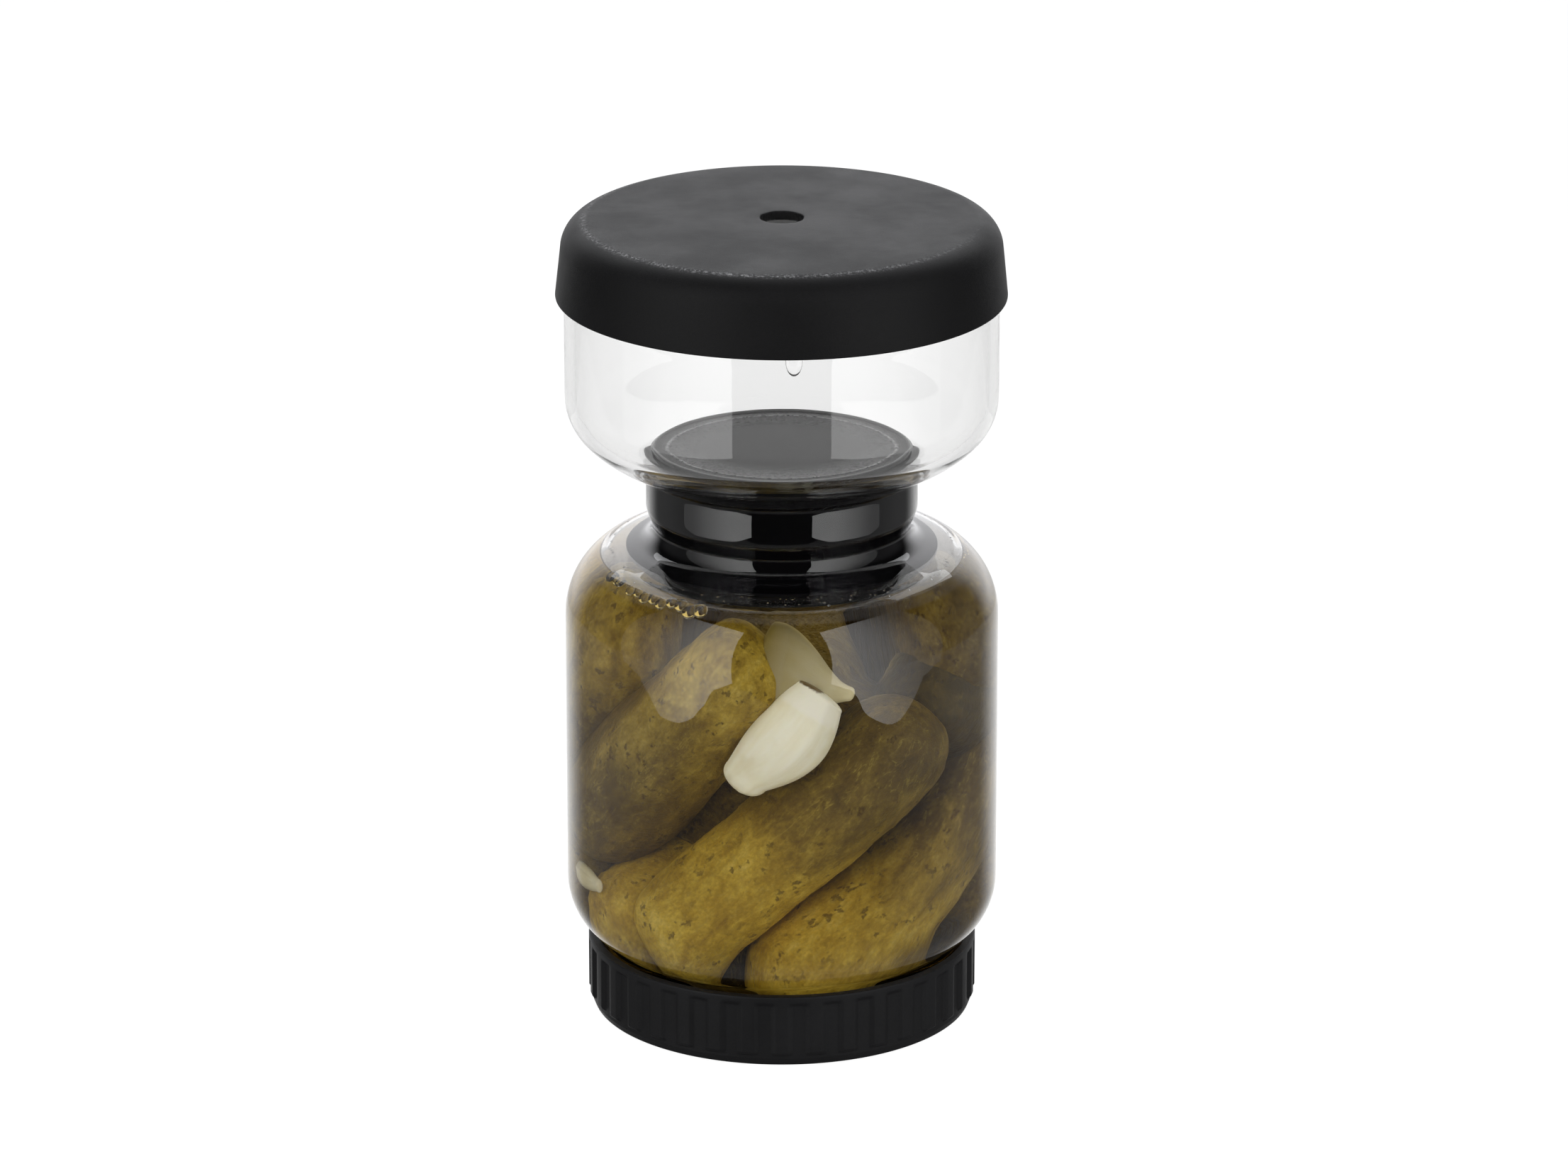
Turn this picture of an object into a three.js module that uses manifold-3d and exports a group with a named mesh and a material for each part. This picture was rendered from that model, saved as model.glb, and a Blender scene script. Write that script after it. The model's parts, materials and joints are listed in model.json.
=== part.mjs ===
// A fermentation jar, blown as one piece of glass: a jar below, a narrow neck, and an open bowl on top.
// The jar's mouth points down and stands in its screw lid. A soft plug closes the neck, and a soft
// cover with an air hole closes the bowl. The jar is filled with pickled gherkins and garlic.
// Millimetres, +Z up, with the origin on the floor under the jar's axis. The front is at -Y.
import * as THREE from "three";
import { mergeVertices } from "three/addons/utils/BufferGeometryUtils.js";
import Module from "manifold-3d";

const wasm = await Module();
wasm.setup();

// Driving dimensions of the whole
const GAP = 0.35; // room kept between two pieces that touch
const WALL = 2.4; // glass, everywhere
const JAR_RADIUS = 50;
const BOWL_RADIUS = 49.7;
const COVER_TOP = 189.6;

// The jar's body
const FOOT_ROUND = { radius: 15, height: 31.6, end: -64 }; // the lower corner, and how far it turns in
const SHOULDER = { radius: 18.15, height: 95.8, end: 62 }; // the upper corner
const COLLAR = { radius: 4.5, height: 117.8 }; // the hollow round between shoulder and neck
const MOUTH = { radius: 41.5, bottom: 2.6, thread: 42.5, threadAt: 12.5 };

// The neck and the bowl
const WAIST = { radius: 29.7, bulge: 31.25, from: 121.5, to: 126.5 };
const BOWL_CORNER = { radius: 13.1, height: 148.5, end: -46 };
const BOWL_SWEEP = { radius: 29, end: -63 }; // the flatter round under the corner
const BOWL_SEAT = 133.6; // the bowl's floor round the neck's opening
const UNDERSIDE = 130.3; // where the bowl's underside meets the neck
const RIM = { radius: 48.9, from: 174, top: 186.9 };

// The cover, the plug and the lid
const COVER = { radius: 51.7, bottom: 172, taper: 1.25, corner: 3.8, lip: 1.7, dome: 0.6, top: 2.2, hole: 4.95 };
const PLUG = { disc: 31.2, thick: 1.2, flange: 35.5, skirt: 33, bottom: 107.4, lip: 0.4 };
const LID = { radius: 44.5, rim: 45.2, height: 17.6, floor: 2.2, inside: 43, corner: 2.2, rimHeight: 1.6 };
const RIBS = { count: 36, share: 0.48, bottom: 3.2 };

// How finely round pieces are cut
const SIDES = { glass: 44, cover: 44, plug: 36, lid: 72, gherkin: 9, clove: 8, core: 16 };

// Where a pickle's end lies: degrees round the jar from the front, towards +X, then out from the axis and up.
const place = (angle, reach, height) => {
  const turn = THREE.MathUtils.degToRad(angle);
  return new THREE.Vector3(reach * Math.sin(turn), -reach * Math.cos(turn), height);
};

// Each pickle runs between the centres of its two round ends, and bows out towards the glass.
const GHERKINS = [
  { ends: [place(41, 32, 71), place(-36, 31.5, 31.5)], radii: [13.2, 11.8], bow: 2.4 },
  { ends: [place(-18, 35.5, 91.2), place(-79.5, 33.9, 51.4)], radii: [11.1, 12.7], bow: 1.6, belly: 1.8 },
  { ends: [place(98, 32, 54.5), place(15, 25, 20.5)], radii: [13, 13], bow: 5 },
  { ends: [place(-65, 30, 28.5), place(-160, 6, 44)], radii: [11.4, 12.5], bow: 0 },
  { ends: [place(-79, 32.5, 91), place(-115, 33, 55)], radii: [13.4, 13.2], bow: 2 },
  { ends: [place(87, 32.8, 91.5), place(149, 32.8, 73)], radii: [13.6, 12.8], bow: 4 },
  { ends: [place(108, 30, 31), place(152, 24, 20)], radii: [11.5, 11], bow: 2 },
  { ends: [place(-104, 32.5, 32.5), place(-152, 32.5, 31)], radii: [11.2, 11.2], bow: 2.6 },
  { ends: [place(-143, 33.3, 91), place(-163, 33.5, 57)], radii: [13.2, 12.8], bow: 0.6 },
  { ends: [place(136, 33.5, 47), place(169, 33.2, 35)], radii: [12, 11.6], bow: 1.4 },
  { ends: [place(72, 29, 80), place(125, 31, 62)], radii: [11, 12], bow: 2 },
];
const CLOVES = [
  { ends: [place(11.7, 40, 89.5), place(-11.5, 40.4, 69.8)], radii: [6, 4.7], bow: 1, belly: 3.1, skew: -1.3 },
  { ends: [place(-6.3, 32.5, 93), place(22.5, 36, 88.6)], radii: [9.2, 1.8], bow: 1, belly: 1.6, skew: 0 },
  { ends: [place(-90, 37, 34), place(-66, 42.3, 36.2)], radii: [3.8, 1.8], bow: 0.3, belly: 0.3, skew: 0 },
];
const FLAT = 0.74; // a clove's thickness, as a share of its width
const CORE = { radius: 22, bottom: 6, top: 88, round: 8 }; // pickles that never show

// Points of an arc in the plane of radius and height, angles in degrees from straight out.
function arc(outward, height, radius, from, to, steps) {
  const points = [];
  for (let i = 0; i <= steps; i += 1) {
    const angle = THREE.MathUtils.degToRad(from + ((to - from) * i) / steps);
    points.push(new THREE.Vector2(outward + radius * Math.cos(angle), height + radius * Math.sin(angle)));
  }
  return points;
}

const at = (radius, height) => new THREE.Vector2(radius, height);

// Six times the volume that the faces enclose, negative when they point in.
function signedVolume(position, index) {
  const [a, b, c] = [new THREE.Vector3(), new THREE.Vector3(), new THREE.Vector3()];
  let sum = 0;
  for (let i = 0; i < index.length; i += 3) {
    a.fromBufferAttribute(position, index[i]);
    b.fromBufferAttribute(position, index[i + 1]);
    c.fromBufferAttribute(position, index[i + 2]);
    sum += a.dot(b.cross(c));
  }
  return sum;
}

// A closed mesh: shared vertices merged, collapsed triangles dropped, faces pointing out.
function closed(geometry) {
  geometry.deleteAttribute("normal");
  geometry.deleteAttribute("uv");
  const merged = mergeVertices(geometry, 1e-3);
  const index = [];
  for (let i = 0; i < merged.index.count; i += 3) {
    const corners = [0, 1, 2].map((k) => merged.index.getX(i + k));
    if (new Set(corners).size === 3) index.push(...corners);
  }
  if (signedVolume(merged.getAttribute("position"), index) < 0) index.reverse();
  merged.setIndex(index);
  return merged;
}

// A profile turned round the Z axis. It closes on itself, or starts and ends on the axis.
function turned(profile, sides) {
  const onAxis = profile[0].x === 0 && profile[profile.length - 1].x === 0;
  const outline = onAxis ? profile : [...profile, profile[0]];
  return closed(new THREE.LatheGeometry(outline, sides).rotateX(Math.PI / 2));
}

function toSolid(geometry) {
  const vertProperties = new Float32Array(geometry.getAttribute("position").array);
  const triVerts = new Uint32Array(geometry.index.array);
  return new wasm.Manifold(new wasm.Mesh({ numProp: 3, vertProperties, triVerts }));
}

function fromSolid(solid) {
  const mesh = solid.getMesh();
  const geometry = new THREE.BufferGeometry();
  geometry.setAttribute("position", new THREE.BufferAttribute(new Float32Array(mesh.vertProperties), 3));
  geometry.setIndex([...mesh.triVerts]);
  return geometry;
}

// The bowl's underside is two rounds that run into each other, so they share a tangent where they meet.
function bowlSweepCentre() {
  const turn = THREE.MathUtils.degToRad(BOWL_CORNER.end);
  const apart = BOWL_SWEEP.radius - BOWL_CORNER.radius;
  const corner = at(BOWL_RADIUS - BOWL_CORNER.radius, BOWL_CORNER.height);
  return at(corner.x - apart * Math.cos(turn), corner.y - apart * Math.sin(turn));
}

// The glass from mouth to rim on the outside, then back down on the inside.
function glassProfile() {
  const foot = JAR_RADIUS - FOOT_ROUND.radius;
  const shoulder = JAR_RADIUS - SHOULDER.radius;
  const collar = WAIST.radius + COLLAR.radius;
  const bowl = BOWL_RADIUS - BOWL_CORNER.radius;
  const sweep = bowlSweepCentre();
  const bore = MOUTH.radius - WALL;
  const boreTurn = -THREE.MathUtils.radToDeg(Math.acos((bore - foot) / (FOOT_ROUND.radius - WALL)));
  return [
    at(MOUTH.radius, MOUTH.bottom),
    at(MOUTH.radius, MOUTH.threadAt - 1),
    at(MOUTH.thread, MOUTH.threadAt),
    at(MOUTH.radius, MOUTH.threadAt + 1),
    ...arc(foot, FOOT_ROUND.height, FOOT_ROUND.radius, FOOT_ROUND.end, 0, 5),
    ...arc(shoulder, SHOULDER.height, SHOULDER.radius, 0, SHOULDER.end, 5),
    ...arc(collar, COLLAR.height, COLLAR.radius, -90, -180, 4),
    at(WAIST.bulge, WAIST.from),
    at(WAIST.bulge, WAIST.to),
    at(WAIST.bulge, UNDERSIDE),
    ...arc(sweep.x, sweep.y, BOWL_SWEEP.radius, BOWL_SWEEP.end, BOWL_CORNER.end, 1),
    ...arc(bowl, BOWL_CORNER.height, BOWL_CORNER.radius, BOWL_CORNER.end, 0, 3).slice(1),
    at(BOWL_RADIUS, RIM.from - 3),
    at(RIM.radius, RIM.from),
    at(RIM.radius, RIM.top - 1),
    at(RIM.radius - WALL / 2, RIM.top),
    at(RIM.radius - WALL, RIM.top - 1),
    at(RIM.radius - WALL, RIM.from),
    at(BOWL_RADIUS - WALL, RIM.from - 3),
    ...arc(bowl, BOWL_CORNER.height, BOWL_CORNER.radius - WALL, 0, BOWL_CORNER.end, 3),
    ...arc(sweep.x, sweep.y, BOWL_SWEEP.radius - WALL, BOWL_CORNER.end, BOWL_SWEEP.end, 1).slice(1),
    at(PLUG.disc + 2, BOWL_SEAT),
    at(WAIST.bulge - WALL, BOWL_SEAT),
    at(WAIST.bulge - WALL, WAIST.from),
    ...arc(collar, COLLAR.height, COLLAR.radius + WALL, -180, -90, 4),
    ...arc(shoulder, SHOULDER.height, SHOULDER.radius - WALL, SHOULDER.end, 0, 4),
    ...arc(foot, FOOT_ROUND.height, FOOT_ROUND.radius - WALL, 0, boreTurn, 4),
    at(bore, MOUTH.bottom),
  ];
}

// The plug follows the neck inside, with a disc that lies in the bowl and a flange under the shoulder.
function plugProfile() {
  const body = WAIST.bulge - WALL - GAP;
  const collar = WAIST.radius + COLLAR.radius;
  const discTop = BOWL_SEAT + GAP + PLUG.thick;
  const flange = COLLAR.height - COLLAR.radius - WALL - GAP;
  return [
    at(0, PLUG.bottom),
    at(PLUG.skirt - 1, PLUG.bottom),
    at(PLUG.skirt, PLUG.bottom + 1),
    at(PLUG.skirt, flange - 1.4),
    at(PLUG.flange, flange - 1),
    at(PLUG.flange, flange),
    ...arc(collar, COLLAR.height, COLLAR.radius + WALL + GAP, -90, -180, 4),
    at(body, WAIST.from),
    at(body, BOWL_SEAT + GAP),
    at(PLUG.disc, BOWL_SEAT + GAP),
    at(PLUG.disc, discTop - 0.3),
    at(PLUG.disc - 0.5, discTop + PLUG.lip),
    at(PLUG.disc - 1.4, discTop),
    at(0, discTop),
  ];
}

// The cover grips the rim: a wall that leans in a little, a round edge and a slightly domed top.
function coverProfile() {
  const wallTop = COVER_TOP - COVER.dome - COVER.corner;
  const topRadius = COVER.radius - COVER.taper;
  const grip = RIM.radius + GAP;
  const ceiling = RIM.top + GAP;
  return [
    at(COVER.hole, COVER_TOP),
    at(COVER.hole, COVER_TOP - COVER.top),
    at(grip - 4, ceiling),
    at(grip - 1, ceiling),
    at(grip, ceiling - 1),
    at(grip, RIM.from),
    at(COVER.radius - COVER.lip, RIM.from - 2.6),
    at(COVER.radius - COVER.lip, COVER.bottom),
    at(COVER.radius - 0.4, COVER.bottom),
    at(COVER.radius, COVER.bottom + 0.6),
    ...arc(topRadius - COVER.corner, wallTop, COVER.corner, 0, 90, 4),
  ];
}

// The lid's cup with its rim ring, without ribs.
function lidProfile() {
  const rimBottom = LID.height - LID.rimHeight;
  return [
    at(0, 0),
    at(LID.radius - LID.corner, 0),
    at(LID.radius - LID.corner * 0.3, LID.corner * 0.3),
    at(LID.radius, LID.corner),
    at(LID.radius, rimBottom - 0.5),
    at(LID.rim, rimBottom),
    at(LID.rim, LID.height - 0.4),
    at(LID.rim - 0.4, LID.height),
    at(0, LID.height),
  ];
}

// A toothed disc: its teeth are the ribs that the hand turns the lid by.
function ribRing() {
  const pitch = (2 * Math.PI) / RIBS.count;
  const half = (RIBS.share * pitch) / 2;
  const points = [];
  for (let i = 0; i < RIBS.count; i += 1) {
    const steps = [[-half - 0.01, LID.radius - 0.1], [-half, LID.rim], [half, LID.rim], [half + 0.01, LID.radius - 0.1]];
    for (const [turn, radius] of steps) {
      const angle = i * pitch + turn;
      points.push(at(radius * Math.cos(angle), radius * Math.sin(angle)));
    }
  }
  const depth = LID.height - LID.rimHeight + 0.2 - RIBS.bottom;
  const ring = new THREE.ExtrudeGeometry(new THREE.Shape(points), { depth, bevelEnabled: false, steps: 1 });
  return closed(ring.translate(0, 0, RIBS.bottom));
}

function lidGeometry() {
  const cavity = [at(0, LID.floor), at(LID.inside, LID.floor), at(LID.inside, LID.height + 2), at(0, LID.height + 2)];
  const cup = toSolid(turned(lidProfile(), SIDES.lid));
  const ribs = toSolid(ribRing());
  return fromSolid(cup.add(ribs).subtract(toSolid(turned(cavity, SIDES.lid))));
}

// A turned body bent along a curve. Its profile's heights run from one end's centre to the other's.
function bent(pickle, sides, flat) {
  const [start, end] = pickle.ends;
  const middle = start.clone().add(end).multiplyScalar(0.5);
  const outwards = new THREE.Vector3(middle.x, middle.y, 0).normalize();
  const pull = middle.clone().addScaledVector(outwards, 2 * pickle.bow);
  const curve = new THREE.QuadraticBezierCurve3(start, pull, end);
  const length = curve.getLength();
  const [startRadius, endRadius] = pickle.radii;
  const profile = [
    ...arc(0, 0, startRadius, -90, 0, 3),
    at((startRadius + endRadius) / 2 + (pickle.belly ?? 0), length / 2),
    ...arc(0, length, endRadius, 0, 90, 3),
  ];
  profile[0].x = 0;
  profile[profile.length - 1].x = 0;
  const geometry = new THREE.LatheGeometry(profile, sides);
  const position = geometry.getAttribute("position");
  for (let i = 0; i < position.count; i += 1) {
    const along = position.getY(i);
    const share = THREE.MathUtils.clamp(along / length, 0, 1);
    const tangent = curve.getTangentAt(share);
    const side = tangent.clone().cross(outwards).normalize();
    const out = side.clone().cross(tangent);
    const point = curve.getPointAt(share);
    point.addScaledVector(tangent, along - share * length);
    const shift = (pickle.skew ?? 0) * Math.sin(Math.PI * share);
    point.addScaledVector(side, position.getX(i) + shift);
    point.addScaledVector(out, position.getZ(i) * flat);
    position.setXYZ(i, point.x, point.y, point.z);
  }
  return toSolid(closed(geometry));
}

// The heap: gherkins and cloves fused to a core of the ones that never show.
function picklesGeometry() {
  const core = [
    at(0, CORE.bottom),
    at(CORE.radius - CORE.round, CORE.bottom),
    at(CORE.radius, CORE.bottom + CORE.round),
    at(CORE.radius, CORE.top - CORE.round),
    at(CORE.radius - CORE.round, CORE.top),
    at(0, CORE.top),
  ];
  let heap = toSolid(turned(core, SIDES.core));
  for (const gherkin of GHERKINS) heap = heap.add(bent(gherkin, SIDES.gherkin, 1));
  for (const clove of CLOVES) heap = heap.add(bent(clove, SIDES.clove, FLAT));
  return fromSolid(heap);
}

function piece(name, geometry, color, roughness, opacity = 1) {
  const material = new THREE.MeshStandardMaterial({
    color, roughness, metalness: 0, opacity, transparent: opacity < 1,
  });
  const mesh = new THREE.Mesh(geometry, material);
  mesh.name = name;
  return mesh;
}

const jar = new THREE.Group();
jar.add(piece("glass", turned(glassProfile(), SIDES.glass), 0xf2f5f2, 0.03, 0.25));
jar.add(piece("plug", turned(plugProfile(), SIDES.plug), 0x1a1a1c, 0.45));
jar.add(piece("cover", turned(coverProfile(), SIDES.cover), 0x2c2c2f, 0.75));
jar.add(piece("lid", lidGeometry(), 0x1f1f21, 0.55));
jar.add(piece("pickles", picklesGeometry(), 0x6e5d22, 0.5));

export default jar;
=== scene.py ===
import json
import math

import bpy
import numpy as np
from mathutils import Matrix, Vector, noise

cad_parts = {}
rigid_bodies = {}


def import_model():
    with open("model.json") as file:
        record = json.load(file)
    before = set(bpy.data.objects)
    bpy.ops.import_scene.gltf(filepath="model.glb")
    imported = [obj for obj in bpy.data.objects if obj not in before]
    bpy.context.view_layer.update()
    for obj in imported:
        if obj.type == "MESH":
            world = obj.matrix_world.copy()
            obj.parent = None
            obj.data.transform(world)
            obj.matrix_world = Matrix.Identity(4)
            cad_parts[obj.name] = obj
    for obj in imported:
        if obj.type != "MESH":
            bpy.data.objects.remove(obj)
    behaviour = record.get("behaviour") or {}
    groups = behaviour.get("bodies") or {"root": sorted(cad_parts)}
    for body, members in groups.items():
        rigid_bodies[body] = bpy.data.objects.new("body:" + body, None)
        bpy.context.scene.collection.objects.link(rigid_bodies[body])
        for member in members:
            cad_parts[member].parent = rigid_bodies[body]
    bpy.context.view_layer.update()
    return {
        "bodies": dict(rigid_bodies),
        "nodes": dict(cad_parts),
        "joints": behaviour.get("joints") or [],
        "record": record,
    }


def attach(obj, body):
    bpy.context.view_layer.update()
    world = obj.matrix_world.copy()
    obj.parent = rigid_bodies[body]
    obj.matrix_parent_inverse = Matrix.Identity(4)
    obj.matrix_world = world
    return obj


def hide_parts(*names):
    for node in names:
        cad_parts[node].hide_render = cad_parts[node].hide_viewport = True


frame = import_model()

MM = 0.001
SEED = 7

# The glass: the same values as the solids
WALL = 2.4
JAR_RADIUS = 50.0
BOWL_RADIUS = 49.7
FOOT = {"radius": 15.0, "height": 31.6, "end": -64.0}
SHOULDER = {"radius": 18.15, "height": 95.8, "end": 62.0}
COLLAR = {"radius": 4.5, "height": 117.8}
MOUTH = {"radius": 41.5, "bottom": 2.6, "top": 17.0}
THREAD = {"height": 1.0, "from": 6.0, "to": 15.5, "pitch": 5.2, "half": 0.75, "run_out": 1.2}
WAIST = {"radius": 29.7, "bulge": 31.25, "from": 121.5, "to": 126.5}
CORNER = {"radius": 13.1, "height": 148.5, "end": -46.0}
SWEEP = {"radius": 29.0, "end": -63.0}
SEAT = 133.6
UNDERSIDE = 130.3
RIM = {"radius": 48.9, "from": 174.0, "top": 186.9, "bend": 3.0}

# The brine
LEVEL = 107.8
MENISCUS = 1.3
MENISCUS_FADE = 0.9
INTO_GLASS = 0.28
BRINE_BOTTOM = 2.28

# The cover, the stopper and the lid
COVER = {"radius": 51.7, "bottom": 172.0, "top": 189.9, "taper": 1.25, "corner": 6.8, "lip": 1.7, "step": 2.6,
         "dome": 0.35, "thick": 2.2, "hole": 4.95, "beside": 0.12, "above": 0.25}
# How far the crown has risen at these radii, as a share of its dome
CROWN = [(34, 0.45), (20, 0.85)]
# The hole's nicks: height, fineness and seed. The skirt's waves: height, how many and where they start.
NICKS = [(0.16, 1.1, 5), (0.06, 3.4, 6)]
WAVES = [(0.12, 2, 0.6), (0.08, 3, 0)]
# The radius and strength of each ring of dust on the cover
DUST_RINGS = [(45.3, 0.5), (43.2, 0.3)]
STOPPER = {"disc": 30.3, "thick": 1.55, "flange": 35.5, "skirt": 33.0, "bottom": 107.4, "rings": (29.6, 26.4),
           "into_glass": 0.15}
LID = {"radius": 44.5, "rim": 45.2, "height": 17.6, "floor": 2.2, "inside": 43.0, "corner": 2.2,
       "rim_height": 1.6}
RIBS = {"count": 36, "share": 0.48, "bottom": 3.2, "slope": 0.07}

# Each gherkin: its two round ends (degrees round the jar, out from the axis, up), their radii, how far it
# bows outwards and swells in the middle, and how golden each end is, partly its own colour and partly painted
# light on the ends that catch the most light. Below nought an end is darker, painted shade for a gherkin in
# shadow.
GHERKINS = [
    ((41, 32, 71), (-36, 31.5, 31.5), (13.2, 11.8), (2.4, 0.25), (-0.25, 1.5)),
    ((-18, 35.5, 91.2), (-79.5, 33.9, 51.4), (11.1, 12.7), (1.6, 2.0), (0.6, -0.2)),
    ((98, 32, 54.5), (15, 25, 20.5), (13, 13), (5, 0.25), (-0.1, 1.0)),
    ((-65, 30, 28.5), (-160, 6, 44), (11.4, 12.5), (0, 0.25), (1.1, 0.3)),
    ((-79, 32.5, 91), (-115, 33, 55), (13.4, 13.2), (2, 0.25), (0.5, -0.3)),
    ((87, 32.8, 91.5), (149, 32.8, 73), (13.6, 12.8), (4, 0.25), (-0.3, -0.6)),
    ((108, 30, 31), (152, 24, 20), (11.5, 11), (2, 0.25), (0.4, 0.6)),
    ((-104, 32.5, 32.5), (-152, 32.5, 31), (11.2, 11.2), (2.6, 0.25), (0.4, 0.7)),
    ((-143, 33.3, 91), (-163, 33.5, 57), (13.2, 12.8), (0.6, 0.25), (0.9, 0.2)),
    ((136, 33.5, 47), (169, 33.2, 35), (12, 11.6), (1.4, 0.25), (0.2, 0.5)),
    ((72, 29, 80), (125, 31, 62), (11, 12), (2, 0.25), (-0.7, -0.5)),
]
# Each clove the same way, from its root end: bow, swell and how far its middle leans to one side, and how much
# painted shade darkens each end where the clove lies deep in shadow
CLOVES = [
    ((11.7, 40, 89.5), (-10.6, 40.4, 70.8), (6.0, 5.4), (1, 2.9, -1.3), (0, 0)),
    ((-6.3, 32.5, 93), (22.5, 36, 88.6), (9.2, 1.8), (1, 1.6, 0), (1.0, 0.25)),
    ((-87, 38, 33.2), (-66, 42.3, 35.4), (2.8, 1.7), (0.3, 0.3, 0), (0.4, 0.4)),
]
CLOVE_FLAT = 0.74
# Where a clove's ridge runs round it, and how far its root and its pale cap reach along it
RIDGE = {"height": 0.35, "at": 1.9, "width": 0.16}
ROOT = 2.4
CAP = {"reach": 4.6, "slant": 0.8, "edge": 0.5}
# The pickles stay this far inside the glass
CLEARANCE = 0.15
CORE = {"radius": 20.0, "bottom": 6.0, "top": 86.0, "round": 8.0, "uneven": 2.0}

# How many sides the round pieces have, and each rib of the lid
SIDES = {"glass": 176, "cover": 224, "stopper": 144, "core": 72, "rib": 14}
# The same for a pickle: points round it, rows along its middle and over each end. taper is how far each end
# reaches for its radius, and below one blunt makes it fuller.
GHERKIN_GRID = {"columns": 72, "rows": 76, "cap_rows": 15, "taper": (1.0, 1.0), "blunt": 0.86}
CLOVE_GRID = {"columns": 56, "rows": 40, "cap_rows": 12, "taper": (0.22, 0.75), "blunt": 0.9}
# A gherkin's uneven skin: height, number and turn of its flat sides, and height, width and seed of its swells,
# dents and pimples
FACETS = [(0.22, 3, 1.7), (0.12, 5, 1.0)]
SWELLS = [(0.75, 17, 3), (0.34, 5.5, 40), (0.10, 1.9, 90)]
WARTS = {"count": 64, "size": (0.55, 1.15), "share": (0.45, 1.0), "height": 0.42}

# Beads of air at the brine's edge, in degrees round the jar: the first of a row, its step and its count, and
# the middle of a cluster, its spread and its count
BEADS = {"row": (-55.5, 3.6, 9), "right": (86, 2.8, 5), "cluster": (-66, 4, 7)}
DROPS = {"count": 200, "size": (0.1, 0.34), "height": (109.3, 112.2)}
RUNNING_DROP = {"towards": (0.055, -1.0, 0), "height": 171.2, "radii": (1.9, 3.4, 0.75)}

CAMERA = {"at": (0.0005, -1.6919, 0.6782), "aim": (0.0005, 0, 0.10126), "sensor": 36.0, "lens": 177.88}
# Where the camera's own rays and those through glass end, the floor glows as white paper. For all others it
# gives less light.
FLOOR = {"half": 12.0, "glow": 0.965, "light": 0.6}
TABLE = {"half": 0.5, "front": -0.30, "back": 0.35, "height": 0.0004, "glow": 0.2}
# Two upright softboxes in front of the jar, left and right: metres, and degrees round from the front
SOFTBOX = {"away": 0.5, "turn": 57, "half": 32, "bottom": -0.081, "top": 0.75, "glow": 2.7,
           "bright": 0.30, "dim": 0.57, "least": 0.15}
PANEL_GLOW = 2.1
BACK_PANEL = {"at": (0, 0.45, 0.75), "aim": (0, 0, 0.19), "size": (1.2, 0.6), "colour": (0.96, 0.98, 1.0)}
FILL_LIGHT = {"at": (0, -1.4, 0.9), "aim": (0, 0, 0.1), "size": (1.2, 1.0), "power": 10.5, "seen": False}
TOP_LIGHT = {"at": (0, 0.02, 0.62), "aim": (0, 0, 0), "size": (0.3, 0.3), "power": 2.0, "seen": False}
# What the studio shows in reflections: in front, at the sides, behind and low, behind and high
ROOM = {"front": (0.02, 0.02, 0.021, 1), "side": (0.12, 0.12, 0.125, 1), "low": (0.9, 0.9, 0.9, 1),
        "high": (1.6, 1.6, 1.64, 1)}
WHITE = (1, 1, 1, 1)
BLACK = (0, 0, 0, 1)


# Profiles: rows of (radius, height)
def arc(outward, height, radius, start, end, steps):
    """Points on a round about (outward, height), from start to end in degrees."""
    angles = np.radians(np.linspace(start, end, steps + 1))
    return [(outward + radius * math.cos(a), height + radius * math.sin(a)) for a in angles]


def resampled(profile, spacing, closed):
    """The same line in even steps."""
    points = np.array(profile + profile[:1] if closed else profile, float)
    gone = np.r_[0, np.cumsum(np.linalg.norm(np.diff(points, axis=0), axis=1))]
    count = int(gone[-1] / spacing)
    at = np.linspace(0, gone[-1], count, endpoint=not closed)
    return np.c_[np.interp(at, gone, points[:, 0]), np.interp(at, gone, points[:, 1])]


def softened(profile, reach, closed, spacing=0.2):
    """The line with its corners rounded by about reach millimetres."""
    points = resampled(profile, spacing, closed)
    half = int(3 * reach / spacing)
    weights = np.exp(-0.5 * (np.arange(-half, half + 1) * spacing / reach) ** 2)
    weights /= weights.sum()
    if closed:
        padded = np.r_[points[-half:], points, points[:half]]
    else:
        ends = [2 * points[0] - points[half:0:-1], points, 2 * points[-1] - points[-2:-half - 2:-1]]
        padded = np.concatenate(ends)
    return np.c_[[np.convolve(padded[:, k], weights, "valid") for k in (0, 1)]].T


def thinned(points, closed, turn, longest):
    """Points dropped where the line runs nearly straight, but not just before a bend."""
    following = np.roll(points, -1, axis=0) if closed else np.r_[points[1:], 2 * points[-1:] - points[-2:-1]]
    step = following - points
    heading = np.unwrap(np.arctan2(step[:, 1], step[:, 0]))
    kept = [0]
    for i in range(1, len(points) - 1):
        bend = abs(math.degrees(heading[i] - heading[kept[-1]]))
        ahead = abs(math.degrees(heading[min(i + 2, len(points) - 1)] - heading[i]))
        far = np.linalg.norm(points[i] - points[kept[-1]])
        if bend > turn or far > longest or (ahead > 0.25 and bend < 0.1 and far > 0.8):
            kept.append(i)
    return points[kept + [len(points) - 1]]


def profile_of(points, reach, closed=False, turn=3.5, longest=9.0):
    """A profile with softened corners. One that isn't closed starts and ends on the axis."""
    made = thinned(softened(points, reach, closed), closed, turn, longest)
    if not closed:
        made[0, 0] = made[-1, 0] = 0
    return made


# Meshes
def volume(points, triangles):
    """The enclosed volume, below nought where the faces point inwards."""
    a, b, c = (points[triangles[:, k]] for k in range(3))
    return np.einsum("ij,ij->i", a, np.cross(b, c)).sum() / 6


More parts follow.
